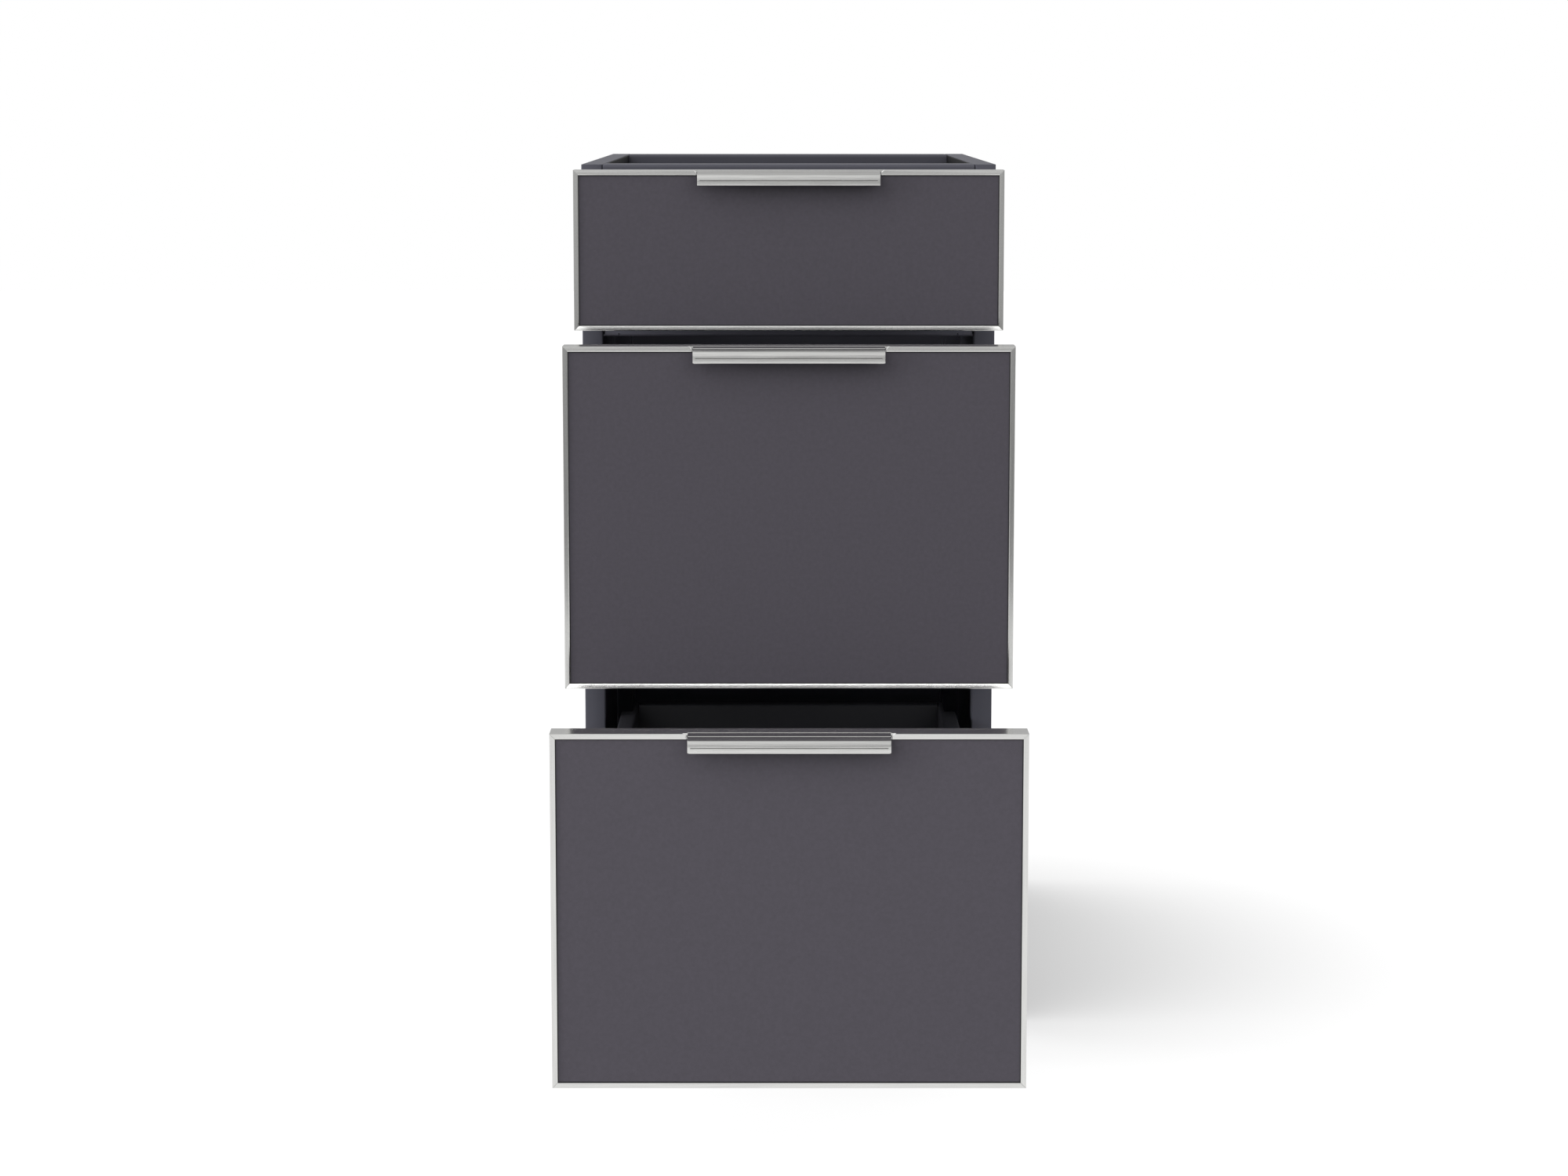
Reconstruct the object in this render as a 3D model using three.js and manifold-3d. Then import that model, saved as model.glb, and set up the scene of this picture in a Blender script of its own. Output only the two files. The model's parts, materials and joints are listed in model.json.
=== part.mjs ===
// Outdoor kitchen drawer unit: an open-topped, powder-coated steel carcass on levelling feet, with one
// shallow and two deep drawers on side-mounted slides, each drawer pulled out further than the one above.
// Each front is a coated board in a mitred, brushed metal frame, with a short edge grip let into its top.
// Lengths are in millimetres. X runs to the right, Y from front to back and Z up. The origin is on the
// floor, under the middle of the space that the unit fills with its drawers out.
import * as THREE from "three";
import { mergeVertices } from "three/addons/utils/BufferGeometryUtils.js";
import Module from "manifold-3d";

const wasm = await Module();
wasm.setup();

// Whole unit
const unitWidth = 400;
const unitDepth = 580;
const unitHeight = 850;

// Clearances and cuts
const seatGap = 0.3;
const cutOverrun = 1;

// Posts, tubes and feet
const postSide = 20;
const postRadius = 1.5;
const tubeWall = 1.5;
const footHeight = 18;
const footPadHeight = 5;
const footStemRadius = 4;
const footNutRadius = 6.5;
const footNutHeight = 4;
const footCollarHeight = 1.5;
const footPlugLength = 22;

// Rails of folded sheet
const railSheet = 2;
const foldRadius = 1;
const topRailHeight = 30;
const topRailDepth = 55;
const topRailReturn = 15;
const topRailLip = 18;
const railJoint = 0.6;
const crossRailHeight = 30;
const crossRailDepth = 27;
const crossRailInset = 2;
const crossRailEndRelief = 1.8;
const slitInset = 15.6;
const slitWidth = 1.2;
const slitHeight = 3;

// Side, back, bottom and plinth panels
const panelSheet = 1.5;
const skinInset = 0.5;
const skinLift = 4;
const bearerHeight = 50;
const backInset = 1;
const backReturn = 15;
const bottomOverlap = 20;
const bottomSetback = 2;
const bottomFlange = 20;
const plinthRecess = 40;
const plinthReturn = 22;

// Drawer fronts
const frontWidth = 397;
const frontThickness = 24;
const frontStandoff = 2;
const frontReveal = 2.2;
const frontGap = 2;
const shallowFrontHeight = 148;
const deepFrontDifference = 2;
const toeHeight = 89.8;
const frameLip = 4.6;
const frameLipThickness = 1.4;
const frameWeb = 2;
const frameOuterRadius = 1.75;
const frameInnerBevel = 0.8;
const frameRearBevel = 0.3;

// Grip
const gripWidth = 168;
const gripHeight = 14.3;
const gripReach = 13.2;
const gripTongue = 6;
const gripTongueThickness = 1.6;
const gripBlockReach = 5;
const gripBlockRound = 0.8;
const gripBlockDepth = 1.1;
const gripStep = 2.2;
const gripSheet = 2;
const gripLegFall = 0.4;
const gripBend = 2.4;
const gripFaceBulge = 0.6;
const gripToe = 0.9;
const notchRadius = 4.5;
const notchLipDepth = 3;

// Drawer boxes
const boxSheet = 1.2;
const boxSideWidth = 15.8;
const boxLength = 548;
const boxClearance = 4;
const boxFloorLift = 14;
const boxBackReturn = 12;
const boxNotchLength = 47;
const boxNotchHem = 4.4;
const shallowBoxDrop = 48;
const deepBoxDrop = 83.5;

// Slides
const slideSpace = 13.8;
const slideSheet = 1.2;
const slideHeight = 45;
const slideLength = 500;
const slideMiddleLength = 480;
const slideSetback = 4;
const slideLift = 40;
const slideOuterDepth = 9.5;
const slideMiddleGap = 1.5;
const slideMiddleDepth = 11;
const slideBallGap = 3;
const slideInnerGap = 1.6;
const slideCageLength = 200;
const slideCageInset = 16;
const slideCageWidth = 4;

// How far each drawer is pulled out, from closed
const upperOpening = 118;
const middleOpening = 279;
const lowerOpening = 470;

// Steps in rounded shapes
const foldSteps = 3;
const cornerSteps = 3;
const bendSteps = 4;
const notchSteps = 6;
const roundSides = 24;
const nutSides = 6;

const halfWidth = unitWidth / 2;
const bayHalf = halfWidth - postSide;
const frontFace = -(frontStandoff + frontThickness);
const boxOuter = bayHalf - slideSpace;
const boxInner = boxOuter - boxSideWidth;
const boxFront = seatGap - frontStandoff;
const boxEnd = boxFront + boxLength;
const sides = [
  { side: "left", sign: -1 },
  { side: "right", sign: 1 },
];

// The two deep fronts share the height that the shallow one leaves above the toe space
const stackHeight = unitHeight - frontReveal - toeHeight;
const deepFrontsHeight = stackHeight - shallowFrontHeight - 2 * frontGap;

const drawers = [
  {
    name: "upper",
    frontHeight: shallowFrontHeight,
    boxDrop: shallowBoxDrop,
    opening: upperOpening,
  },
  {
    name: "middle",
    frontHeight: (deepFrontsHeight + deepFrontDifference) / 2,
    boxDrop: deepBoxDrop,
    opening: middleOpening,
  },
  {
    name: "lower",
    frontHeight: (deepFrontsHeight - deepFrontDifference) / 2,
    boxDrop: deepBoxDrop,
    opening: lowerOpening,
  },
];

// Heights follow from the fronts, which are stacked downwards from the top of the carcass.
let frontTop = unitHeight - frontReveal;
for (const drawer of drawers) {
  drawer.frontTop = frontTop;
  drawer.frontBottom = frontTop - drawer.frontHeight;
  drawer.railTop = drawer.frontBottom - frontGap / 2 + crossRailHeight / 2;
  frontTop = drawer.frontBottom - frontGap;
}
const lowestDrawer = drawers[drawers.length - 1];
const bottomTop = lowestDrawer.frontBottom + bottomOverlap;
for (const drawer of drawers) {
  const support = drawer === lowestDrawer ? bottomTop : drawer.railTop;
  drawer.boxBottom = support + boxClearance;
  drawer.boxTop = drawer.frontTop - drawer.boxDrop;
  drawer.slideCentre = drawer.boxBottom + slideLift;
}

const finishes = {
  carcassCoat: { color: 0x46464e, roughness: 0.55, metalness: 0.1 },
  frontLaminate: { color: 0x4d4a50, roughness: 0.6, metalness: 0 },
  brushedSteel: { color: 0xc2c2c0, roughness: 0.32, metalness: 1 },
  drawerCoat: { color: 0x3b3b40, roughness: 0.6, metalness: 0.1 },
  slideZinc: { color: 0x9a9c9e, roughness: 0.35, metalness: 0.9 },
  footPlastic: { color: 0x1c1c1e, roughness: 0.7, metalness: 0 },
};

// Outlines are drawn in a plane and run along the axis that is square to it.
const axisX = new THREE.Vector3(1, 0, 0);
const axisY = new THREE.Vector3(0, 1, 0);
const axisZ = new THREE.Vector3(0, 0, 1);
const runs = {
  alongX: new THREE.Matrix4().makeBasis(axisY, axisZ, axisX),
  alongY: new THREE.Matrix4().makeBasis(axisX, axisZ, axisY.clone().negate()),
  alongZ: new THREE.Matrix4(),
};

function extrude(outline, run, from, to) {
  const shape = new THREE.Shape(outline.map(([u, v]) => new THREE.Vector2(u, v)));
  const geometry = new THREE.ExtrudeGeometry(shape, {
    depth: to - from,
    bevelEnabled: false,
  });
  geometry.applyMatrix4(runs[run]);
  if (run === "alongX") geometry.translate(from, 0, 0);
  if (run === "alongY") geometry.translate(0, to, 0);
  if (run === "alongZ") geometry.translate(0, 0, from);
  return geometry;
}

function block([x0, x1], [y0, y1], [z0, z1]) {
  const geometry = new THREE.BoxGeometry(Math.abs(x1 - x0), y1 - y0, z1 - z0);
  return geometry.translate((x0 + x1) / 2, (y0 + y1) / 2, (z0 + z1) / 2);
}

function toSolid(geometry) {
  const bare = geometry.clone();
  bare.deleteAttribute("normal");
  bare.deleteAttribute("uv");
  const merged = mergeVertices(bare);
  const vertProperties = new Float32Array(merged.attributes.position.array);
  const triVerts = new Uint32Array(merged.index.array);
  return new wasm.Manifold(new wasm.Mesh({ numProp: 3, vertProperties, triVerts }));
}

function toGeometry(solid) {
  const { numProp, vertProperties, triVerts } = solid.getMesh();
  const positions = new THREE.BufferAttribute(new Float32Array(vertProperties), numProp);
  const geometry = new THREE.BufferGeometry().setAttribute("position", positions);
  geometry.setIndex(new THREE.BufferAttribute(new Uint32Array(triVerts), 1));
  geometry.computeVertexNormals();
  return geometry;
}

function join(...geometries) {
  const solids = geometries.map(toSolid);
  return toGeometry(solids.reduce((whole, solid) => whole.add(solid)));
}

function cut(geometry, ...cutters) {
  const solids = cutters.map(toSolid);
  return toGeometry(solids.reduce((left, cutter) => left.subtract(cutter), toSolid(geometry)));
}

// Points on an arc round a centre, from one angle to another, both ends included.
function arc([cx, cy], radius, fromAngle, toAngle, steps) {
  return Array.from({ length: steps + 1 }, (_, i) => {
    const angle = fromAngle + ((toAngle - fromAngle) * i) / steps;
    return [cx + radius * Math.cos(angle), cy + radius * Math.sin(angle)];
  });
}

function roundedSquare([cx, cy], side, radius) {
  const reach = side / 2 - radius;
  const quarter = Math.PI / 2;
  return [
    [1, 1],
    [-1, 1],
    [-1, -1],
    [1, -1],
  ].flatMap(([sx, sy], i) =>
    arc([cx + sx * reach, cy + sy * reach], radius, i * quarter, (i + 1) * quarter, cornerSteps),
  );
}

// The outline of a sheet of one thickness, folded at the inner points of a path down its middle.
function foldedSheet(path, thickness) {
  const corners = path.map(([u, v]) => new THREE.Vector2(u, v));
  const square = (direction) => new THREE.Vector2(-direction.y, direction.x);
  const heading = (from, to) => to.clone().sub(from).normalize();
  const bendRadius = foldRadius + thickness / 2;
  const last = corners.length - 1;
  const middle = [];
  corners.forEach((corner, i) => {
    if (i === 0 || i === last) {
      const direction = i === 0 ? heading(corner, corners[1]) : heading(corners[last - 1], corner);
      middle.push({ point: corner, normal: square(direction) });
      return;
    }
    const into = heading(corners[i - 1], corner);
    const out = heading(corner, corners[i + 1]);
    const turn = Math.atan2(into.cross(out), into.dot(out));
    const setback = bendRadius * Math.tan(Math.abs(turn) / 2);
    const start = corner.clone().addScaledVector(into, -setback);
    const centre = start.clone().addScaledVector(square(into), Math.sign(turn) * bendRadius);
    for (let step = 0; step <= foldSteps; step += 1) {
      const normal = square(into).rotateAround(new THREE.Vector2(), (turn * step) / foldSteps);
      const point = centre.clone().addScaledVector(normal, -Math.sign(turn) * bendRadius);
      middle.push({ point, normal });
    }
  });
  const edge = (offset) =>
    middle.map(({ point, normal }) => point.clone().addScaledVector(normal, offset).toArray());
  return [...edge(thickness / 2), ...edge(-thickness / 2).reverse()];
}

// A square or rectangular tube that is open at both ends of its run along Y.
function tubeAlongY([x0, x1], [y0, y1], [z0, z1], wall) {
  const bore = block(
    [Math.min(x0, x1) + wall, Math.max(x0, x1) - wall],
    [y0 - cutOverrun, y1 + cutOverrun],
    [z0 + wall, z1 - wall],
  );
  return cut(block([x0, x1], [y0, y1], [z0, z1]), bore);
}

// A profile of [inset from the outer edge, depth from the front] swept round a rectangle with mitres.
function mitredFrame(width, height, profile, frontY, centreZ) {
  const cornerSigns = [
    [-1, -1],
    [1, -1],
    [1, 1],
    [-1, 1],
  ];
  const positions = cornerSigns.flatMap(([sx, sz]) =>
    profile.flatMap(([inset, depth]) => [
      sx * (width / 2 - inset),
      frontY + depth,
      centreZ + sz * (height / 2 - inset),
    ]),
  );
  const count = profile.length;
  const index = cornerSigns.flatMap((_, corner) =>
    profile.flatMap((_point, i) => {
      const next = (corner + 1) % cornerSigns.length;
      const a = corner * count + i;
      const b = corner * count + ((i + 1) % count);
      const c = next * count + ((i + 1) % count);
      const d = next * count + i;
      return [a, c, b, a, d, c];
    }),
  );
  const geometry = new THREE.BufferGeometry();
  geometry.setAttribute("position", new THREE.Float32BufferAttribute(positions, 3));
  geometry.setIndex(index);
  geometry.computeVertexNormals();
  return geometry;
}

const materials = Object.fromEntries(
  Object.entries(finishes).map(([name, look]) => [name, new THREE.MeshStandardMaterial(look)]),
);

function addPiece(group, name, geometry, finish) {
  const mesh = new THREE.Mesh(geometry, materials[finish]);
  mesh.name = name;
  group.add(mesh);
}

// Corner posts: tubes closed at the top, with a foot plugged into the open lower end
function postGeometry(cx, cy) {
  const outline = roundedSquare([cx, cy], postSide, postRadius);
  const reach = postSide / 2 - tubeWall;
  const bore = block(
    [cx - reach, cx + reach],
    [cy - reach, cy + reach],
    [footHeight - cutOverrun, unitHeight - tubeWall],
  );
  return cut(extrude(outline, "alongZ", footHeight, unitHeight), bore);
}

function footGeometry(cx, cy) {
  const padRadius = postSide / 2;
  const collarReach = padRadius - seatGap;
  const plugReach = padRadius - tubeWall - seatGap;
  const collarTop = footHeight - seatGap;
  const collarBottom = collarTop - footCollarHeight;
  const pad = new THREE.CylinderGeometry(padRadius, padRadius, footPadHeight, roundSides);
  pad.rotateX(Math.PI / 2).translate(cx, cy, footPadHeight / 2);
  const stem = new THREE.CylinderGeometry(footStemRadius, footStemRadius, collarTop, roundSides);
  stem.rotateX(Math.PI / 2).translate(cx, cy, collarTop / 2);
  const nut = new THREE.CylinderGeometry(footNutRadius, footNutRadius, footNutHeight, nutSides);
  nut.rotateX(Math.PI / 2).translate(cx, cy, collarBottom - footNutHeight / 2);
  const collar = block(
    [cx - collarReach, cx + collarReach],
    [cy - collarReach, cy + collarReach],
    [collarBottom, collarTop],
  );
  const plug = block(
    [cx - plugReach, cx + plugReach],
    [cy - plugReach, cy + plugReach],
    [collarBottom, footHeight + footPlugLength],
  );
  return join(pad, stem, nut, collar, plug);
}

function addPostsAndFeet(group) {
  const ends = [
    { end: "front", y: postSide / 2 },
    { end: "rear", y: unitDepth - postSide / 2 },
  ];
  for (const { end, y } of ends) {
    for (const { side, sign } of sides) {
      const x = sign * (halfWidth - postSide / 2);
      addPiece(group, `post_${end}_${side}`, postGeometry(x, y), "carcassCoat");
      addPiece(group, `foot_${end}_${side}`, footGeometry(x, y), "footPlastic");
    }
  }
}

// Front and rear top rails are folded sheet, and the side ones are tubes between the posts
function addTopRails(group) {
  const middle = railSheet / 2;
  const section = [
    [topRailReturn, unitHeight - topRailHeight + middle],
    [middle, unitHeight - topRailHeight + middle],
    [middle, unitHeight - middle],
    [topRailDepth - middle, unitHeight - middle],
    [topRailDepth - middle, unitHeight - topRailLip],
  ];
  const outline = foldedSheet(section, railSheet);
  const rearOutline = outline.map(([y, z]) => [unitDepth - y, z]);
  const reach = bayHalf - railJoint;
  addPiece(group, "top_rail_front", extrude(outline, "alongX", -reach, reach), "carcassCoat");
  addPiece(group, "top_rail_rear", extrude(rearOutline, "alongX", -reach, reach), "carcassCoat");
  for (const { side, sign } of sides) {
    const tube = tubeAlongY(
      [sign * bayHalf, sign * halfWidth],
      [postSide + seatGap, unitDepth - postSide - seatGap],
      [unitHeight - postSide, unitHeight],
      tubeWall,
    );
    addPiece(group, `top_rail_${side}`, tube, "carcassCoat");
  }
}

// Cross rails close the gaps between the drawers, and stand a little behind the faces of the posts
function crossRailGeometry(railTop) {
  const railBottom = railTop - crossRailHeight;
  const middle = railSheet / 2;
  const section = [
    [crossRailDepth, railBottom + middle],
    [crossRailInset + middle, railBottom + middle],
    [crossRailInset + middle, railTop - middle],
    [crossRailDepth, railTop - middle],
  ];
  const reach = bayHalf - seatGap;
  const rail = extrude(foldedSheet(section, railSheet), "alongX", -reach, reach);
  const webDepth = crossRailInset + railSheet + foldRadius;
  const cutters = sides.flatMap(({ sign }) => {
    const relief = block(
      [sign * (bayHalf - crossRailEndRelief), sign * bayHalf],
      [0, webDepth],
      [railBottom - cutOverrun, railTop + cutOverrun],
    );
    const slitX = sign * (bayHalf - slitInset);
    const slit = block(
      [slitX - slitWidth / 2, slitX + slitWidth / 2],
      [0, webDepth],
      [railBottom - cutOverrun, railBottom + slitHeight],
    );
    return [relief, slit];
  });
  return cut(rail, ...cutters);
}

function addCrossRails(group) {
  addPiece(group, "cross_rail_upper", crossRailGeometry(drawers[0].railTop), "carcassCoat");
  addPiece(group, "cross_rail_lower", crossRailGeometry(drawers[1].railTop), "carcassCoat");
}

// Each side panel is a skin with a welded tube behind each slide and one beside the bottom panel
function sidePanelGeometry(sign) {
  const skinOuter = halfWidth - skinInset;
  const skinInner = skinOuter - panelSheet;
  const along = [postSide + seatGap, unitDepth - postSide - seatGap];
  const skin = block(
    [sign * skinInner, sign * skinOuter],
    along,
    [footHeight + skinLift, unitHeight - postSide - seatGap],
  );
  const bearerBottoms = [
    ...drawers.map((drawer) => drawer.slideCentre - bearerHeight / 2),
    bottomTop - bearerHeight,
  ];
  const bearers = bearerBottoms.map((bottom) =>
    tubeAlongY([sign * bayHalf, sign * skinInner], along, [bottom, bottom + bearerHeight], tubeWall),
  );
  return join(skin, ...bearers);
}

function addPanels(group) {
  for (const { side, sign } of sides) {
    addPiece(group, `side_panel_${side}`, sidePanelGeometry(sign), "carcassCoat");
  }
  const middle = panelSheet / 2;
  const reach = bayHalf - seatGap;
  const backFace = unitDepth - backInset;
  const backSection = [
    [middle - reach, backFace - backReturn],
    [middle - reach, backFace - middle],
    [reach - middle, backFace - middle],
    [reach - middle, backFace - backReturn],
  ];
  const backTop = unitHeight - topRailHeight - seatGap;
  const back = extrude(foldedSheet(backSection, panelSheet), "alongZ", footHeight + skinLift, backTop);
  addPiece(group, "back_panel", back, "carcassCoat");

  const bottomRear = backFace - backReturn - seatGap;
  const bottomSection = [
    [bottomSetback + middle, bottomTop - bottomFlange],
    [bottomSetback + middle, bottomTop - middle],
    [bottomRear - middle, bottomTop - middle],
    [bottomRear - middle, bottomTop - bottomFlange],
  ];
  const bottom = extrude(foldedSheet(bottomSection, panelSheet), "alongX", -reach, reach);
  addPiece(group, "bottom_panel", bottom, "carcassCoat");

  const plinthTop = bottomTop - panelSheet - seatGap;
  const plinthSection = [
    [plinthRecess + middle, footHeight],
    [plinthRecess + middle, plinthTop - middle],
    [plinthRecess + plinthReturn, plinthTop - middle],
  ];
  const plinth = extrude(foldedSheet(plinthSection, panelSheet), "alongX", -reach, reach);
  addPiece(group, "plinth_panel", plinth, "carcassCoat");
}

// Slide members nest in each other. Their sections are drawn as [distance from the bay wall, height].
const slideWall = slideSheet / 2;
const outerFlange = slideHeight / 2 - slideWall;
const middleFlange = outerFlange - slideSheet - slideBallGap;
const innerFlange = middleFlange - slideSheet - slideBallGap;
const outerWeb = seatGap + slideWall;
const middleWeb = outerWeb + slideSheet + slideMiddleGap;
const innerWeb = slideSpace - seatGap - slideWall;

function slideMember(web, lip, flange, sign, centreZ, y0, y1) {
  const section = [
    [lip, flange],
    [web, flange],
    [web, -flange],
    [lip, -flange],
  ];
  const outline = foldedSheet(section, slideSheet);
  const placed = outline.map(([depth, height]) => [sign * (bayHalf - depth), centreZ + height]);
  return extrude(placed, "alongY", y0, y1);
}

function outerSlide(sign, centreZ) {
  const end = slideSetback + slideLength;
  return slideMember(outerWeb, slideOuterDepth, outerFlange, sign, centreZ, slideSetback, end);
}

function innerSlide(sign, centreZ) {
  const lip = middleWeb + slideWall + slideInnerGap;
  const end = slideSetback + slideLength;
  return slideMember(innerWeb, lip, innerFlange, sign, centreZ, slideSetback, end);
}

// The middle member carries the ball cages: the outer pair runs near its rear end, the inner near its front
function middleSlide(sign, centreZ) {
  const front = slideSetback;
  const rear = slideSetback + slideMiddleLength;
  const member = slideMember(
    middleWeb,
    slideMiddleDepth,
    middleFlange,
    sign,
    centreZ,
    front,
    rear,
  );
  const cageCentre = bayHalf - (middleWeb + slideMiddleDepth) / 2;
  const acrossCage = [
    sign * (cageCentre - slideCageWidth / 2),
    sign * (cageCentre + slideCageWidth / 2),
  ];
  const outerAlong = [rear - slideCageInset - slideCageLength, rear - slideCageInset];
  const innerAlong = [front + slideCageInset, front + slideCageInset + slideCageLength];
  const outerHeights = [middleFlange, outerFlange - slideWall - seatGap];
  const innerHeights = [innerFlange + slideWall + seatGap, middleFlange];
  const cages = [1, -1].flatMap((up) =>
    [
      { along: outerAlong, heights: outerHeights },
      { along: innerAlong, heights: innerHeights },
    ].map(({ along, heights }) => {
      const levels = heights.map((height) => centreZ + up * height);
      return block(acrossCage, along, [Math.min(...levels), Math.max(...levels)]);
    }),
  );
  return join(member, ...cages);
}

// Drawer box: two hollow sides whose outer skins stop short of the back, a floor and a back
function boxSideGeometry(drawer, sign) {
  const middle = boxSheet / 2;
  const section = [
    [boxOuter - middle, drawer.boxBottom],
    [boxOuter - middle, drawer.boxTop - middle],
    [boxInner + middle, drawer.boxTop - middle],
    [boxInner + middle, drawer.boxBottom],
  ];
  const outline = foldedSheet(section, boxSheet).map(([x, z]) => [sign * x, z]);
  const notch = block(
    [sign * (boxInner + boxNotchHem), sign * (boxOuter + cutOverrun)],
    [boxEnd - boxNotchLength, boxEnd + cutOverrun],
    [drawer.boxBottom - cutOverrun, drawer.boxTop + cutOverrun],
  );
  return cut(extrude(outline, "alongY", boxFront, boxEnd), notch);
}

function addDrawerBox(group, drawer) {
  const middle = boxSheet / 2;
  const reach = boxInner - seatGap;
  for (const { side, sign } of sides) {
    const name = `drawer_side_${drawer.name}_${side}`;
    addPiece(group, name, boxSideGeometry(drawer, sign), "drawerCoat");
  }
  const backFront = boxEnd - boxBackReturn;
  const backSection = [
    [backFront + middle, drawer.boxBottom],
    [backFront + middle, drawer.boxTop - middle],
    [boxEnd, drawer.boxTop - middle],
  ];
  const back = extrude(foldedSheet(backSection, boxSheet), "alongX", -reach, reach);
  addPiece(group, `drawer_back_${drawer.name}`, back, "drawerCoat");

  const floorTop = drawer.boxBottom + boxFloorLift;
  const floorSection = [
    [middle - reach, drawer.boxBottom],
    [middle - reach, floorTop - middle],
    [reach - middle, floorTop - middle],
    [reach - middle, drawer.boxBottom],
  ];
  const floor = extrude(
    foldedSheet(floorSection, boxSheet),
    "alongY",
    boxFront,
    backFront - seatGap,
  );
  addPiece(group, `drawer_floor_${drawer.name}`, floor, "drawerCoat");
}

// Front frame: a thin edge profile with a narrow face lip, notched at the top for the grip
function frameProfile() {
  const quarter = Math.PI / 2;
  const round = [frameOuterRadius, frameOuterRadius];
  return [
    ...arc(round, frameOuterRadius, 2 * quarter, 3 * quarter, cornerSteps),
    [frameLip - frameInnerBevel, 0],
    [frameLip, frameInnerBevel],
    [frameLip, frameLipThickness],
    [frameWeb, frameLipThickness],
    [frameWeb, frontThickness],
    [frameRearBevel, frontThickness],
    [0, frontThickness - frameRearBevel],
  ];
}

function notchCutters(top) {
  const reach = gripWidth / 2 + seatGap;
  const quarter = Math.PI / 2;
  const centre = [reach + notchRadius, top - notchRadius];
  const rightEnd = arc(centre, notchRadius, 2 * quarter, quarter, notchSteps);
  const leftEnd = rightEnd.map(([x, z]) => [-x, z]).reverse();
  const floor = top - frameLip - cutOverrun;
  const ceiling = top + cutOverrun;
  const lipOutline = [
    [-reach, floor],
    [reach, floor],
    ...rightEnd,
    [reach + notchRadius, ceiling],
    [-(reach + notchRadius), ceiling],
    ...leftEnd,
  ];
  const start = frontFace - cutOverrun;
  return [
    extrude(lipOutline, "alongY", start, frontFace + notchLipDepth),
    block([-reach, reach], [start, frontFace + gripTongue + seatGap], [floor, ceiling]),
  ];
}

// Grip section as [distance in front of the front's face, depth below the top of the front]
function gripSection() {
  const quarter = Math.PI / 2;
  const faceReach = gripReach - gripFaceBulge;
  const legTop = gripStep + gripLegFall;
  const bendCentre = [faceReach - gripBend, legTop + gripBend];
  const bend = arc(bendCentre, gripBend, -quarter, 0, bendSteps);
  const faceTop = legTop + gripBend;
  const faceBottom = gripHeight - gripToe;
  const face = Array.from({ length: bendSteps - 1 }, (_, i) => {
    const share = (i + 1) / bendSteps;
    const bulge = gripFaceBulge * 4 * share * (1 - share);
    return [faceReach + bulge, faceTop + share * (faceBottom - faceTop)];
  });
  const legUnder = legTop + gripSheet;
  const innerReach = faceReach - gripSheet;
  return [
    [-gripTongue, seatGap],
    [gripBlockReach - gripBlockRound, seatGap],
    [gripBlockReach, seatGap + gripBlockRound],
    [gripBlockReach, gripStep],
    ...bend,
    ...face,
    [faceReach, faceBottom],
    [faceReach - gripToe / 2, gripHeight],
    [innerReach + gripToe / 2, gripHeight],
    [innerReach, faceBottom],
    [innerReach, legUnder + gripToe],
    [innerReach - gripToe, legUnder],
    [-gripBlockDepth, legUnder],
    [-gripBlockDepth, seatGap + gripTongueThickness],
    [-gripTongue, seatGap + gripTongueThickness],
  ];
}

function addDrawerFront(group, drawer) {
  const centreZ = (drawer.frontTop + drawer.frontBottom) / 2;
  const profile = frameProfile();
  const ring = mitredFrame(frontWidth, drawer.frontHeight, profile, frontFace, centreZ);
  const frame = cut(ring, ...notchCutters(drawer.frontTop));
  addPiece(group, `front_frame_${drawer.name}`, frame, "brushedSteel");

  const margin = frameWeb + seatGap;
  const boardReach = frontWidth / 2 - margin;
  const board = block(
    [-boardReach, boardReach],
    [frontFace + frameLipThickness + seatGap, frontFace + frontThickness - seatGap],
    [drawer.frontBottom + margin, drawer.frontTop - margin],
  );
  addPiece(group, `front_panel_${drawer.name}`, board, "frontLaminate");

  const outline = gripSection().map(([ahead, down]) => [frontFace - ahead, drawer.frontTop - down]);
  const grip = extrude(outline, "alongX", -gripWidth / 2, gripWidth / 2);
  addPiece(group, `handle_${drawer.name}`, grip, "brushedSteel");
}

// One group for each body that moves: the middle members go half as far as their drawer
function addDrawer(unit, drawer) {
  const drawerGroup = new THREE.Group();
  const runnerGroup = new THREE.Group();
  drawerGroup.position.y = -drawer.opening;
  runnerGroup.position.y = -drawer.opening / 2;
  unit.add(drawerGroup, runnerGroup);
  addDrawerFront(drawerGroup, drawer);
  addDrawerBox(drawerGroup, drawer);
  for (const { side, sign } of sides) {
    const place = `${drawer.name}_${side}`;
    const centreZ = drawer.slideCentre;
    addPiece(unit, `slide_outer_${place}`, outerSlide(sign, centreZ), "slideZinc");
    addPiece(runnerGroup, `slide_middle_${place}`, middleSlide(sign, centreZ), "slideZinc");
    addPiece(drawerGroup, `slide_inner_${place}`, innerSlide(sign, centreZ), "slideZinc");
  }
}

const unit = new THREE.Group();
addPostsAndFeet(unit);
addTopRails(unit);
addCrossRails(unit);
addPanels(unit);
for (const drawer of drawers) {
  addDrawer(unit, drawer);
}

const furthestOpening = Math.max(...drawers.map((drawer) => drawer.opening));
const foremost = frontFace - gripReach - furthestOpening;
unit.position.y = -(foremost + unitDepth) / 2;

const group = new THREE.Group();
group.add(unit);

export default group;
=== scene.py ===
import json
import math

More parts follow.
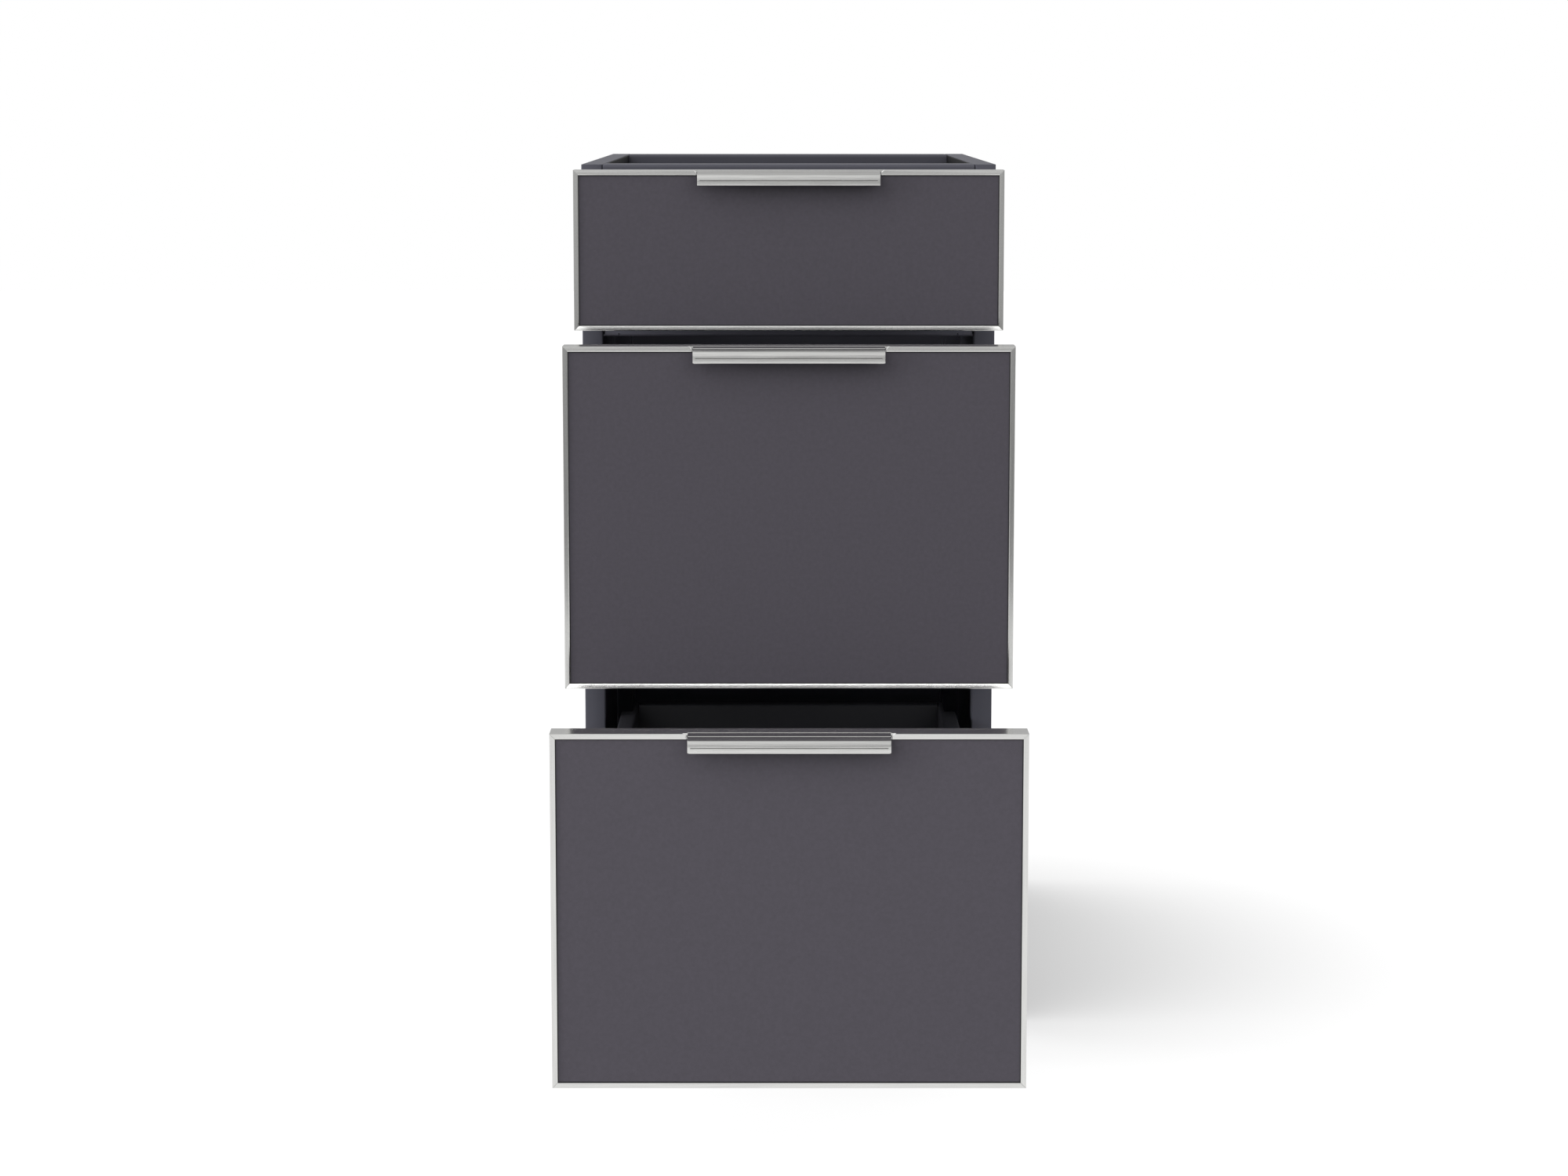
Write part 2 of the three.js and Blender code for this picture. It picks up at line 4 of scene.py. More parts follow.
import bmesh
import bpy
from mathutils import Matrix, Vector

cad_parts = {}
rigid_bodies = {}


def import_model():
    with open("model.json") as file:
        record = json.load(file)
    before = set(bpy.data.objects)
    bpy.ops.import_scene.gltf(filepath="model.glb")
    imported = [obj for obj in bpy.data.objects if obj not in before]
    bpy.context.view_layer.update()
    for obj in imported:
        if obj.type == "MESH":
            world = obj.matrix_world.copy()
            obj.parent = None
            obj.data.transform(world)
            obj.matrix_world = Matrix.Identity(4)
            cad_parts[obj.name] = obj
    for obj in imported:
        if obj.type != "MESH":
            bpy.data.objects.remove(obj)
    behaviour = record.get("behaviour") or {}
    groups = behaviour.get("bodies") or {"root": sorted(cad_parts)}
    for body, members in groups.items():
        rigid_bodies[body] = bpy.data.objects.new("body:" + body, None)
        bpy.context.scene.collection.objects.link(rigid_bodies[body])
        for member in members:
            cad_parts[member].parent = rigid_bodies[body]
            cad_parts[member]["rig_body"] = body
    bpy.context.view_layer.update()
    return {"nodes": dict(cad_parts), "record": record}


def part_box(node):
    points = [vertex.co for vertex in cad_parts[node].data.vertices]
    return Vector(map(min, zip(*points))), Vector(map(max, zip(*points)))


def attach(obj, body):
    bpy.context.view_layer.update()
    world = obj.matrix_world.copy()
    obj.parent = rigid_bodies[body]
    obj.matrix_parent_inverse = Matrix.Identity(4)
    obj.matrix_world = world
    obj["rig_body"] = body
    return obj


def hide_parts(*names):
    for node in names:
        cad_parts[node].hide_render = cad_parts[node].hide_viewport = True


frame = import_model()

# Outdoor kitchen drawer unit: finishes, fasteners and the fine front frames and grips over the CAD frame.
# Lengths are in metres, in the frame's own axes: X to the right, Y to the back and Z up.
MM = 0.001

LEVELS = ("upper", "middle", "lower")
SIDES = (("left", -1), ("right", 1))


# Node trees

class Tree:
    """Short calls for the nodes of a material, of the world or of a modifier."""

    def __init__(self, tree):
        self.tree = tree

    def add(self, kind, **settings):
        node = self.tree.nodes.new(kind)
        for key, value in settings.items():
            setattr(node, key, value)
        return node

    def put(self, value, socket):
        """Sets a socket to a number or a colour, or links another socket to it."""
        if isinstance(value, (int, float, tuple)):
            socket.default_value = value
        else:
            self.tree.links.new(value, socket)

    def math(self, operation, *values):
        node = self.add("ShaderNodeMath", operation=operation)
        for value, socket in zip(values, node.inputs):
            self.put(value, socket)
        return node.outputs[0]

    def blend(self, factor, first, second):
        """A mix of two colours that are given as tuples, or else of two numbers."""
        data_type, kind = ("RGBA", "RGBA") if isinstance(first, tuple) else ("FLOAT", "VALUE")
        node = self.add("ShaderNodeMix", data_type=data_type)
        self.put(factor, node.inputs["Factor"])
        ends = [socket for socket in node.inputs if socket.type == kind][-2:]
        for value, socket in zip((first, second), ends):
            self.put(value, socket)
        return next(socket for socket in node.outputs if socket.type == kind)

    def levels(self, value, stops):
        """A grey level that follows a value from 0 to 1 through stops of (place, level)."""
        node = self.add("ShaderNodeValToRGB")
        elements = node.color_ramp.elements
        while len(elements) < len(stops):
            elements.new(0.5)
        for element, (place, level) in zip(elements, stops):
            element.position = place
            element.color = (level, level, level, 1.0)
        self.put(value, node.inputs["Fac"])
        return node.outputs["Color"]

    def stretched(self, coordinates, scale):
        mapping = self.add("ShaderNodeMapping")
        self.put(scale, mapping.inputs["Scale"])
        self.put(coordinates, mapping.inputs["Vector"])
        return mapping.outputs["Vector"]

    def noise(self, coordinates, scale=1.0, detail=3.0, roughness=0.55):
        node = self.add("ShaderNodeTexNoise")
        self.put(scale, node.inputs["Scale"])
        self.put(detail, node.inputs["Detail"])
        self.put(roughness, node.inputs["Roughness"])
        self.put(coordinates, node.inputs["Vector"])
        return node.outputs["Fac"]

    def spread(self, value, low, high, from_low=0.3, from_high=0.7):
        """Spreads the range that a value usually keeps to, such as a noise's, over another range."""
        node = self.add("ShaderNodeMapRange")
        self.put(from_low, node.inputs["From Min"])
        self.put(from_high, node.inputs["From Max"])
        self.put(low, node.inputs["To Min"])
        self.put(high, node.inputs["To Max"])
        self.put(value, node.inputs["Value"])
        return node.outputs["Result"]


class Finish(Tree):
    """A new material, with short calls for its shader."""

    def __init__(self, name):
        self.material = bpy.data.materials.new(name)
        self.material.use_nodes = True
        super().__init__(self.material.node_tree)
        self.shader = self.tree.nodes["Principled BSDF"]

    def place(self):
        return self.add("ShaderNodeTexCoord").outputs["Object"]

    def give(self, name, value):
        self.put(value, self.shader.inputs[name])

    def tint(self, share, color, darkest, lightest):
        """Colours the shader between two shades, which follow a share from 0 to 1."""
        self.give("Base Color", self.blend(share, shade(color, darkest), shade(color, lightest)))

    def bump(self, height, strength, distance):
        node = self.add("ShaderNodeBump")
        self.put(strength, node.inputs["Strength"])
        self.put(distance, node.inputs["Distance"])
        self.put(height, node.inputs["Height"])
        self.give("Normal", node.outputs["Normal"])


# Materials

def srgb(red, green, blue):
    """The linear colour that is written as these 0 to 255 screen values."""
    def linear(value):
        share = value / 255
        return share / 12.92 if share <= 0.04045 else ((share + 0.055) / 1.055) ** 2.4
    return (linear(red), linear(green), linear(blue), 1.0)


def shade(color, share):
    return tuple(channel * share for channel in color[:3]) + (1.0,)


def powder_coat(name, color, roughness):
    """A matt powder coat: a fine orange peel, a little unevenness and no metal."""
    finish = Finish(name)
    place = finish.place()
    grain = finish.noise(place, scale=1900.0, detail=4.0)
    cloud = finish.noise(place, scale=22.0, detail=2.0)
    both = finish.math("MULTIPLY_ADD", grain, 0.6, cloud)
    finish.tint(finish.spread(both, 0.0, 1.0, 0.55, 1.05), color, 0.96, 1.04)
    finish.give("Roughness", finish.spread(grain, roughness - 0.05, roughness + 0.06))
    finish.give("Specular IOR Level", 0.3)
    finish.bump(grain, strength=0.12, distance=0.12 * MM)
    return finish.material


def laminate(name, color):
    """A matt laminate, or the matt black of painted shade: a faint mottle a few millimetres across, under a
    very fine grain.
    """
    finish = Finish(name)
    place = finish.place()
    mottle = finish.noise(place, scale=260.0, detail=4.0, roughness=0.7)
    grain = finish.noise(place, scale=2600.0, detail=3.0)
    finish.tint(finish.spread(mottle, 0.0, 1.0), color, 0.93, 1.07)
    finish.give("Roughness", finish.spread(grain, 0.4, 0.5))
    finish.give("Specular IOR Level", 0.15)
    finish.bump(grain, strength=0.15, distance=0.08 * MM)
    return finish.material


def brushed_metal(name, color, roughness, contrast):
    """Metal brushed along U of the brushing map: long streaks, and a highlight that spreads across them."""
    finish = Finish(name)
    place = finish.add("ShaderNodeUVMap", uv_map="brushing").outputs["UV"]
    hairlines = finish.noise(finish.stretched(place, (14.0, 2600.0, 1.0)), detail=3.0)
    streaks = finish.noise(finish.stretched(place, (24.0, 620.0, 1.0)), detail=5.0, roughness=0.6)
    clouds = finish.noise(finish.stretched(place, (9.0, 90.0, 1.0)), detail=2.0)
    both = finish.math("MULTIPLY_ADD", streaks, 1.4, clouds)
    finish.tint(finish.spread(both, 0.0, 1.0, 0.85, 1.5), color, 1 - contrast, 1.04)
    finish.give("Roughness", finish.spread(hairlines, roughness - 0.03, roughness + 0.04))
    finish.give("Metallic", 1.0)
    finish.give("Anisotropic", 0.8)
    finish.give("Anisotropic Rotation", 0.25)
    tangent = finish.add("ShaderNodeTangent", direction_type="UV_MAP", uv_map="brushing")
    finish.give("Tangent", tangent.outputs["Tangent"])
    finish.bump(hairlines, strength=0.25, distance=0.03 * MM)
    return finish.material


def milled_highlight_metal(name, color):
    """The ends of the notch in a frame's top bar, milled and not brushed, with a painted highlight: a
    colour brighter than the brushed metal's, and partly matt so that the lamps light it.
    """
    finish = Finish(name)
    marks = finish.noise(finish.stretched(finish.place(), (900.0, 6000.0, 900.0)), detail=2.0)
    finish.tint(finish.spread(marks, 0.0, 1.0), color, 0.95, 1.03)
    finish.give("Roughness", finish.spread(marks, 0.18, 0.26))
    finish.give("Metallic", 0.3)
    finish.bump(marks, strength=0.1, distance=0.02 * MM)
    return finish.material


def zinc(name, color):
    """Bright zinc plating on rolled strip: satin, with soft blotches."""
    finish = Finish(name)
    place = finish.place()
    rolled = finish.noise(finish.stretched(place, (900.0, 20.0, 900.0)), detail=3.0)
    blotch = finish.noise(place, scale=60.0, detail=3.0)
    finish.tint(finish.spread(blotch, 0.0, 1.0), color, 0.94, 1.04)
    finish.give("Roughness", finish.spread(rolled, 0.3, 0.42))
    finish.give("Metallic", 1.0)
    finish.bump(rolled, strength=0.1, distance=0.04 * MM)
    return finish.material


def moulded(name, color):
    """Black moulded plastic with a spark-eroded skin."""
    finish = Finish(name)
    skin = finish.noise(finish.place(), scale=1500.0, detail=3.0)
    finish.tint(finish.spread(skin, 0.0, 1.0), color, 0.8, 1.2)
    finish.give("Roughness", finish.spread(skin, 0.5, 0.68))
    finish.bump(skin, strength=0.3, distance=0.1 * MM)
    return finish.material


BRIGHT_METAL = srgb(220, 220, 218)
FINISHES = {
    "carcass_coat": powder_coat("carcass_coat", srgb(79, 79, 88), 0.5),
    "front_laminate": laminate("front_laminate", srgb(76, 73, 80)),
    "brushed_metal": brushed_metal("brushed_metal", BRIGHT_METAL, 0.18, 0.06),
    "drawer_coat": powder_coat("drawer_coat", srgb(40, 40, 44), 0.5),
    "slide_zinc": zinc("slide_zinc", srgb(196, 198, 200)),
    "foot_plastic": moulded("foot_plastic", srgb(28, 28, 30)),
}
GRIP_METAL = brushed_metal("grip_metal", BRIGHT_METAL, 0.18, 0.16)
# Painted shade: the floor of the grip's groove is coloured darker than the grip, for the shade inside the
# groove.
GROOVE_SHADE_METAL = brushed_metal("groove_shade_metal", srgb(150, 150, 148), 0.3, 0.3)
# Painted highlight: the notch ends are coloured brighter than the brushed metal.
MILLED_HIGHLIGHT_METAL = milled_highlight_metal("milled_highlight_metal", srgb(242, 242, 241))
# Painted shade: a near-black for the strips on the side rails' inner faces.
RAIL_SHADE_BLACK = laminate("rail_shade_black", srgb(12, 12, 13))


# Pieces

def give_finish(piece, slot):
    piece.data.materials.clear()
    piece.data.materials.append(FINISHES[slot])


def finish_piece(piece, body, slot, *replaced):
    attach(piece, body)
    give_finish(piece, slot)
    if replaced:
        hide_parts(*replaced)


def smooth_folds(name, limit):
    """A modifier group for smooth shading, with sharp edges where the fold is over a limit in degrees."""
    group = bpy.data.node_groups.new(name, "GeometryNodeTree")
    group.interface.new_socket("Geometry", in_out="INPUT", socket_type="NodeSocketGeometry")
    group.interface.new_socket("Geometry", in_out="OUTPUT", socket_type="NodeSocketGeometry")
    tree = Tree(group)
    faces = tree.add("GeometryNodeSetShadeSmooth", domain="FACE")
    tree.put(tree.add("NodeGroupInput").outputs[0], faces.inputs["Geometry"])
    sharp = tree.add("FunctionNodeCompare", operation="GREATER_THAN")
    fold = tree.add("GeometryNodeInputMeshEdgeAngle").outputs["Unsigned Angle"]
    tree.put(fold, sharp.inputs["A"])
    tree.put(math.radians(limit), sharp.inputs["B"])
    edges = tree.add("GeometryNodeSetShadeSmooth", domain="EDGE")
    tree.put(faces.outputs[0], edges.inputs["Geometry"])
    tree.put(sharp.outputs[0], edges.inputs["Selection"])
    tree.put(False, edges.inputs["Shade Smooth"])
    tree.put(edges.outputs[0], tree.add("NodeGroupOutput").inputs[0])
    return group


SMOOTH_FOLDS = smooth_folds("smooth_folds", 32)
SMOOTH_ARCS = smooth_folds("smooth_arcs", 15)
WELD_REACH = 0.01 * MM
FLAT_FOLD = math.radians(0.5)
SHARP_FOLD = math.radians(30)
EDGE_SEGMENTS = 2
EDGE = 0.35 * MM
THIN_EDGE = 0.2 * MM
EDGE_FOLD = 40
END_FACING = 0.9


def soften(piece, width, angle=EDGE_FOLD, folds=SMOOTH_FOLDS):
    """Bevels the edges that fold by more than an angle in degrees, by modifiers over an unchanged mesh."""
    weld = piece.modifiers.new("weld", "WELD")
    weld.merge_threshold = WELD_REACH
    flat = piece.modifiers.new("flat", "DECIMATE")
    flat.decimate_type = "DISSOLVE"
    flat.angle_limit = FLAT_FOLD
    smooth = piece.modifiers.new("smooth", "NODES")
    smooth.node_group = folds
    edge = piece.modifiers.new("edge", "BEVEL")
    edge.width = width
    edge.segments = EDGE_SEGMENTS
    edge.limit_method = "ANGLE"
    edge.angle_limit = math.radians(angle)
    edge.use_clamp_overlap = True
    edge.harden_normals = True


def arc(centre, radius, start, end, steps):
    """Points on an arc with both of its ends, where start and end are angles in quarter turns."""
    angles = [(start + (end - start) * i / steps) * math.pi / 2 for i in range(steps + 1)]
    return [(centre[0] + radius * math.cos(a), centre[1] + radius * math.sin(a)) for a in angles]


def solid(name, *chains):
    """A mesh of one closed body for each chain of rings, with flat caps on its first and its last ring."""
    mesh_maker = bmesh.new()
    for rings in chains:
        loops = [[mesh_maker.verts.new(point) for point in ring] for ring in rings]
        for first, second in zip(loops, loops[1:]):
            for i in range(len(first)):
                j = (i + 1) % len(first)
                mesh_maker.faces.new((first[i], first[j], second[j], second[i]))
        mesh_maker.faces.new(loops[0])
        mesh_maker.faces.new(loops[-1])
    bmesh.ops.recalc_face_normals(mesh_maker, faces=mesh_maker.faces)
    mesh = bpy.data.meshes.new(name)
    mesh_maker.to_mesh(mesh)
    mesh_maker.free()
    mesh.shade_smooth()
    mesh.set_sharp_from_angle(angle=SHARP_FOLD)
    piece = bpy.data.objects.new(name, mesh)
    bpy.context.scene.collection.objects.link(piece)
    return piece


def bake_modifiers(piece):
    evaluated = piece.evaluated_get(bpy.context.evaluated_depsgraph_get())
    mesh = bpy.data.meshes.new_from_object(evaluated)
    piece.modifiers.clear()
    piece.data = mesh


def cut_away(piece, cutters):
    for cutter in cutters:
        cut = piece.modifiers.new("cut", "BOOLEAN")
        cut.object = cutter
        cut.operation = "DIFFERENCE"
        cut.solver = "EXACT"
    bake_modifiers(piece)
    for cutter in cutters:
        bpy.data.objects.remove(cutter)


def brush(piece, along, shift=0.0):
    """Lays the brushing map on a piece: U runs along the brushing in metres, and V across it."""
    along = Vector(along)
    across_ends = Vector((along.z, along.x, along.y))
    mesh = piece.data
    layer = mesh.uv_layers.new(name="brushing")
    for polygon in mesh.polygons:
        is_end = abs(polygon.normal.dot(along)) > END_FACING
        run = across_ends if is_end else along
        across = polygon.normal.cross(run).normalized()
        for loop in polygon.loop_indices:
            place = mesh.vertices[mesh.loops[loop].vertex_index].co
            layer.data[loop].uv = (place.dot(run) + shift, place.dot(across) + shift)


def finish_frame_nodes():
    """Gives each CAD node its finish, and bevels the ones that no finer piece replaces."""
    for row in frame["record"]["subparts"]:
        name = row["node"]
        node = frame["nodes"][name]
        give_finish(node, row["material_slot"])
        if not name.startswith(("front_frame", "handle")):
            soften(node, THIN_EDGE if name.startswith(("slide", "drawer")) else EDGE)


# Front frames: four mitred bars of an edge profile, the top one notched for the grip

LIP = 4.6 * MM
LIP_THICKNESS = 1.4 * MM
WEB = 2 * MM
OUTER_RADIUS = 0.7 * MM
INNER_SLOPE_WIDTH = 0.7 * MM
INNER_SLOPE_DEPTH = 0.25 * MM
REAR_BEVEL = 0.3 * MM
MITRE_GAP = 0.05 * MM
SEAT_GAP = 0.3 * MM
GASKET_REACH = 0.8 * MM
GASKET_HIDDEN = 0.8 * MM
GASKET_CLEARANCE = 0.02 * MM
NOTCH_RADIUS = 4.5 * MM
NOTCH_LIP_DEPTH = 3 * MM
NOTCH_BEVEL = 1.3 * MM
NOTCH_END_TILT = 0.1
OVERRUN = 1 * MM
FRAME_EDGE = 0.15 * MM
NOTCH_EDGE = 0.4 * MM
FRAME_EDGE_FOLD = 25
GRIP_HALF = 84 * MM
GRIP_TONGUE = 6 * MM


def bar_profile(thickness):
    """The section of a bar, as (inset from the frame's outer edge, depth behind its face)."""
    outer_round = arc((OUTER_RADIUS, OUTER_RADIUS), OUTER_RADIUS, 2, 3, steps=8)
    return outer_round + [
        (LIP - INNER_SLOPE_WIDTH, 0),
        (LIP, INNER_SLOPE_DEPTH),
        (LIP, LIP_THICKNESS),
        (WEB, LIP_THICKNESS),
        (WEB, thickness),
        (REAR_BEVEL, thickness),
        (0, thickness - REAR_BEVEL),
    ]


def lip_cut(top, widening):
    """The outline of the cut in the lip. Its round ends are moved apart at their bottom by the widening."""
    end = GRIP_HALF + SEAT_GAP + NOTCH_RADIUS
    reach = NOTCH_RADIUS - widening
    bends = arc((0, 0), 1, 2, 1, steps=12)
    right = [(end + across * reach, top - NOTCH_RADIUS + up * NOTCH_RADIUS) for across, up in bends]
    right = [(right[0][0], top - LIP - OVERRUN), *right, (right[-1][0], top + OVERRUN)]
    return right + [(-x, z) for x, z in reversed(right)]


def notch_cutters(face, top):
    """The lip is cut away with bevelled ends, and the web behind it makes room for the grip's tongue."""
    lip_steps = ((-OVERRUN, NOTCH_BEVEL + OVERRUN), (NOTCH_BEVEL, 0), (NOTCH_LIP_DEPTH, 0))
    lip_rings = [[(x, face + depth, z) for x, z in lip_cut(top, widening)] for depth, widening in lip_steps]
    reach = GRIP_HALF + SEAT_GAP
    floor = top - LIP - OVERRUN
    ceiling = top + OVERRUN
    web_outline = [(-reach, floor), (reach, floor), (reach, ceiling), (-reach, ceiling)]
    web_depths = (-OVERRUN, GRIP_TONGUE + SEAT_GAP)
    web_rings = [[(x, face + depth, z) for x, z in web_outline] for depth in web_depths]
    return [solid("cutter", lip_rings), solid("cutter", web_rings)]


def mill_notch_highlight(bar):
    """The faces that the notch leaves at its two ends are bright: milled metal with a painted highlight."""
    bar.data.materials.append(MILLED_HIGHLIGHT_METAL)
    reach = GRIP_HALF + SEAT_GAP + NOTCH_RADIUS + OVERRUN
    for polygon in bar.data.polygons:
        if abs(polygon.center.x) < reach and abs(polygon.normal.x) > NOTCH_END_TILT:
            polygon.material_index = 1


def mitred_sides(low, high, profile, gap):
    """For each side of a front, its direction and the two mitred ends of a bar with this profile."""
    corners = {
        "top": ((low.x, high.z), (high.x, high.z)),
        "right": ((high.x, high.z), (high.x, low.z)),
        "bottom": ((high.x, low.z), (low.x, low.z)),
        "left": ((low.x, low.z), (low.x, high.z)),
    }
    sides = {}
    for side, ends in corners.items():
        start, end = (Vector((x, low.y, z)) for x, z in ends)
        along = (end - start).normalized()
        inwards = Vector((along.z, 0, -along.x))
        rings = []
        for corner, turn in ((start, 1), (end, -1)):
            mitre = inwards + along * turn
            shifted = corner + along * turn * gap
            rings.append([shifted + mitre * inset + Vector((0, depth, 0)) for inset, depth in profile])
        sides[side] = (along, rings)
    return sides


def add_frame(level):
    low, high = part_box(f"front_frame_{level}")
    bars = mitred_sides(low, high, bar_profile(high.y - low.y), MITRE_GAP)
    for number, (side, (along, rings)) in enumerate(bars.items()):
        notched = side == "top"
        bar = solid(f"frame_bar_{level}_{side}", rings)
        if notched:
            cut_away(bar, notch_cutters(low.y, high.z))
        soften(bar, NOTCH_EDGE if notched else FRAME_EDGE, FRAME_EDGE_FOLD, SMOOTH_ARCS)
        bake_modifiers(bar)
        brush(bar, along, number + LEVELS.index(level) / len(LEVELS))
        finish_piece(bar, f"drawer_{level}", "brushed_metal", f"front_frame_{level}")
        if notched:
            mill_notch_highlight(bar)


def add_shading_gasket(level):
    """A black cord closes the joint between the lip and the board. Its black is also painted shade, for the
    shade that falls in the joint.
    """
    low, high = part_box(f"front_frame_{level}")
    board_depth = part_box(f"front_panel_{level}")[0].y - low.y
    outer = LIP - GASKET_HIDDEN
    inner = LIP + GASKET_REACH
    front = LIP_THICKNESS + GASKET_CLEARANCE
    back = board_depth - GASKET_CLEARANCE
    profile = [(outer, front), (inner, front), (inner, back), (outer, back)]
    cords = [rings for along, rings in mitred_sides(low, high, profile, 0).values()]
    shading_gasket = solid(f"gasket_{level}", *cords)
    finish_piece(shading_gasket, f"drawer_{level}", "foot_plastic")


# Edge grips: a tongue in the notch, a short leg forwards, a round bend and a crowned face that hangs down

GRIP_HEIGHT = 14.3 * MM
GRIP_REACH = 13.2 * MM
GRIP_TONGUE_THICKNESS = 1.6 * MM
GRIP_BLOCK_REACH = 4 * MM
GRIP_BLOCK_FALL = 0.9 * MM
GRIP_BLOCK_DEPTH = 1.1 * MM
GRIP_STEP = 0.35 * MM
GRIP_SHEET = 2 * MM
GRIP_SLOPE = math.radians(14)
GRIP_CROWN_DEPTH = 1.6 * MM
GRIP_CROWN_STEPS = 14
GRIP_TOE = 0.9 * MM
GRIP_LIP_HEIGHT = 4.5 * MM
GRIP_GROOVE_DEPTH = 0.6 * MM
GRIP_GROOVE_HEIGHT = 0.7 * MM
GRIP_GROOVE_END = 2.4 * MM
GRIP_END = 1.6 * MM
GRIP_END_FALL = 0.4 * MM
GRIP_EDGE = 0.2 * MM
GRIP_EDGE_FOLD = 35
GRIP_BRUSH_SHIFT = 1.3


def grip_section(groove_depth):
    """The section of a grip, as (distance ahead of the front's face, depth below the top of the front)."""
    groove_top = GRIP_HEIGHT - GRIP_LIP_HEIGHT - GRIP_GROOVE_HEIGHT
    groove_bottom = groove_top + GRIP_GROOVE_HEIGHT
    leg_start = SEAT_GAP + GRIP_BLOCK_FALL + GRIP_STEP
    leg_run = GRIP_REACH - GRIP_CROWN_DEPTH - GRIP_BLOCK_REACH
    crown_top = leg_start + leg_run * math.tan(GRIP_SLOPE)
    crown_height = groove_top - crown_top
    turn = math.atan(math.tan(GRIP_SLOPE) * GRIP_CROWN_DEPTH / crown_height)
    crown = []
    for i in range(GRIP_CROWN_STEPS + 1):
        angle = turn + (math.pi / 2 - turn) * i / GRIP_CROWN_STEPS
        ahead = GRIP_REACH - GRIP_CROWN_DEPTH * (1 - math.sin(angle))
        crown.append((ahead, groove_top - crown_height * math.cos(angle)))
    inner = GRIP_REACH - GRIP_SHEET
    leg_under = leg_start + GRIP_SHEET
    return [
        (-GRIP_TONGUE, SEAT_GAP),
        (0, SEAT_GAP),
        (GRIP_BLOCK_REACH, SEAT_GAP + GRIP_BLOCK_FALL),
        (GRIP_BLOCK_REACH, leg_start),
        *crown,
        (GRIP_REACH - groove_depth, groove_top),
        (GRIP_REACH - groove_depth, groove_bottom),
        (GRIP_REACH, groove_bottom),
        *arc((GRIP_REACH - GRIP_TOE, GRIP_HEIGHT - GRIP_TOE), GRIP_TOE, 0, 1, steps=5),
        (inner + GRIP_TOE / 2, GRIP_HEIGHT),
        (inner, GRIP_HEIGHT - GRIP_TOE),
        (inner, crown_top + GRIP_SHEET + GRIP_TOE),
        (inner - GRIP_TOE, crown_top + GRIP_SHEET),
        (GRIP_BLOCK_REACH, leg_under),
        (-GRIP_BLOCK_DEPTH, leg_under),
        (-GRIP_BLOCK_DEPTH, SEAT_GAP + GRIP_TONGUE_THICKNESS),
        (-GRIP_TONGUE, SEAT_GAP + GRIP_TONGUE_THICKNESS),
    ]


def add_grip(level):
    """The ends are drawn in a little, and the groove stops short of them."""
    low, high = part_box(f"front_frame_{level}")
    stations = [
        (0, GRIP_END_FALL, 0),
        (GRIP_END, 0, 0),
        (GRIP_GROOVE_END, 0, 0),
        (GRIP_GROOVE_END, 0, GRIP_GROOVE_DEPTH),
    ]
    places = [(inset - GRIP_HALF, drawn_in, depth) for inset, drawn_in, depth in stations]
    places += [(-x, drawn_in, depth) for x, drawn_in, depth in reversed(places)]
    rings = []
    for x, drawn_in, depth in places:
        ahead_share = 1 - drawn_in / GRIP_REACH
        down_share = 1 - drawn_in / GRIP_HEIGHT
        ring = []
        for ahead, down in grip_section(depth):
            y = low.y - (ahead * ahead_share if ahead > 0 else ahead)
            ring.append((x, y, high.z - down * down_share))
        rings.append(ring)
    grip = solid(f"grip_{level}", rings)
    soften(grip, GRIP_EDGE, GRIP_EDGE_FOLD)
    bake_modifiers(grip)
    brush(grip, (1, 0, 0), LEVELS.index(level) * GRIP_BRUSH_SHIFT)
    finish_piece(grip, f"drawer_{level}", "brushed_metal", f"handle_{level}")
    grip.data.materials[0] = GRIP_METAL
    grip.data.materials.append(GROOVE_SHADE_METAL)
    # The groove floor's faces get the darker metal of painted shade.
    groove_bottom = high.z - GRIP_HEIGHT + GRIP_LIP_HEIGHT
    groove_floor = low.y - GRIP_REACH + GRIP_GROOVE_DEPTH
    for polygon in grip.data.polygons:
        inside = groove_bottom < polygon.center.z < groove_bottom + GRIP_GROOVE_HEIGHT
        if inside and abs(polygon.center.y - groove_floor) < GRIP_GROOVE_DEPTH / 4:
            polygon.material_index = 1


# Fasteners, slide caps, bumpers, foot nuts, and black strips of painted shade

HEAD_RADIUS = 3.5 * MM
HEAD_HEIGHT = 0.8 * MM
LOW_HEAD_HEIGHT = 0.6 * MM
HEAD_SHARES = ((1, 0), (1, 0.4), (0.93, 0.75), (0.78, 1))
RECESS_SHARES = ((0.5, 1), (0.46, 0.3))
WHEEL_POINTS = 24
SLIDE_SHEET = 1.2 * MM
PANEL_EDGE = 9 * MM
BUMPER_RADIUS = 4 * MM
BUMPER_HEIGHT = 1.6 * MM
BUMPER_BEND = 0.8
BUMPER_INSET = 7.2 * MM
BUMPER_RISE = 22 * MM
NUT_RADIUS = 7 * MM
NUT_BOTTOM = 11 * MM
NUT_TOP = 17.6 * MM
STOP_WIDTH = 4.8 * MM
STOP_LENGTH = 4 * MM
STOP_EDGE = 0.8 * MM
SHADE_STRIP_THICKNESS = 0.6 * MM
SHADE_STRIP_EDGE = 0.3 * MM
SHADE_STRIP_INSET = 0.7 * MM


def wheel(place, out, radius, rise, sides=0):
    """A ring of points around an axis: a circle, or the outline of a polygon with this number of sides."""
    first = out.orthogonal().normalized()
    second = out.cross(first)
    ring = []
    for i in range(WHEEL_POINTS):
        angle = 2 * math.pi * i / WHEEL_POINTS
        reach = radius
        if sides:
            half = math.pi / sides
            reach = radius * math.cos(half) / math.cos(angle % (2 * half) - half)
        ring.append(place + out * rise + (first * math.cos(angle) + second * math.sin(angle)) * reach)
    return ring


